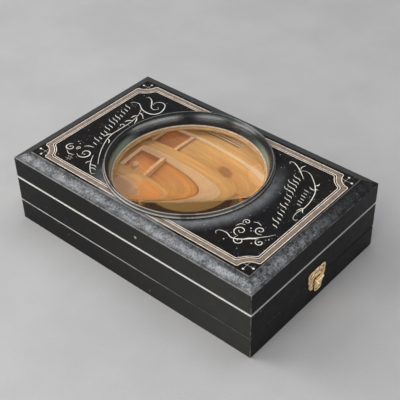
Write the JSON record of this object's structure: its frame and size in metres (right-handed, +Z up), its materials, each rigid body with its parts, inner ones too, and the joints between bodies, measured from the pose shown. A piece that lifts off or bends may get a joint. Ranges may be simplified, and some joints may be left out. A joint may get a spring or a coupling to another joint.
{
  "type": "folding lens viewer box",
  "caption": "Low oblong box whose deep hinged lid carries a large convex lens in a turned ring, with slotted boards behind the glass and a sprung clasp.",
  "frame": {"origin": "under the middle of the box, on the surface that it stands on", "axes": "+X to the right seen from the clasp, +Y along the length from the clasp to the hinges, +Z up"},
  "size_m": [0.17, 0.2732, 0.0783],
  "materials": {
    "ebonised_wood": "black-stained and polished wood, dusty and worn at the edges",
    "polished_black": "turned and polished black",
    "gilt": "worn pale gilt in incised lines",
    "natural_wood": "varnished light wood",
    "pale_wood": "bare pale wood",
    "plain_wood": "plain unpolished board",
    "brass": "stamped and lacquered",
    "lens_glass": "clear polished glass"
  },
  "bodies": {
    "base": {"base_tray": "ebonised_wood", "bottom_board": "plain_wood", "clasp_keeper": "brass", "hinge_left_base_leaf": "brass", "hinge_right_base_leaf": "brass", "hinge_left_pin": "brass", "hinge_right_pin": "brass"},
    "lid": {"lid_frame": "ebonised_wood", "lens_panel": "ebonised_wood", "lens_ring": "polished_black", "lens": "lens_glass", "retaining_rim": "pale_wood", "slotted_leaf": "natural_wood", "under_board": "natural_wood", "end_board": "natural_wood", "slot_slip_left": "natural_wood", "slot_slip_right": "natural_wood", "slot_stop_left": "pale_wood", "slot_stop_centre": "pale_wood", "slot_stop_right": "pale_wood", "guide_strip_left": "pale_wood", "guide_strip_right": "pale_wood", "brass_knob": "brass", "clasp_plate": "brass", "clasp_tongue": "brass", "hinge_left_lid_leaf": "brass", "hinge_right_lid_leaf": "brass"}
  },
  "joints": [
    {"name": "lid_hinge", "type": "hinge", "parent": "base", "child": "lid", "pos_m": [0, 0.13455, 0.0215], "axis": [-1, 0, 0], "range_deg": [0, 90]}
  ]
}
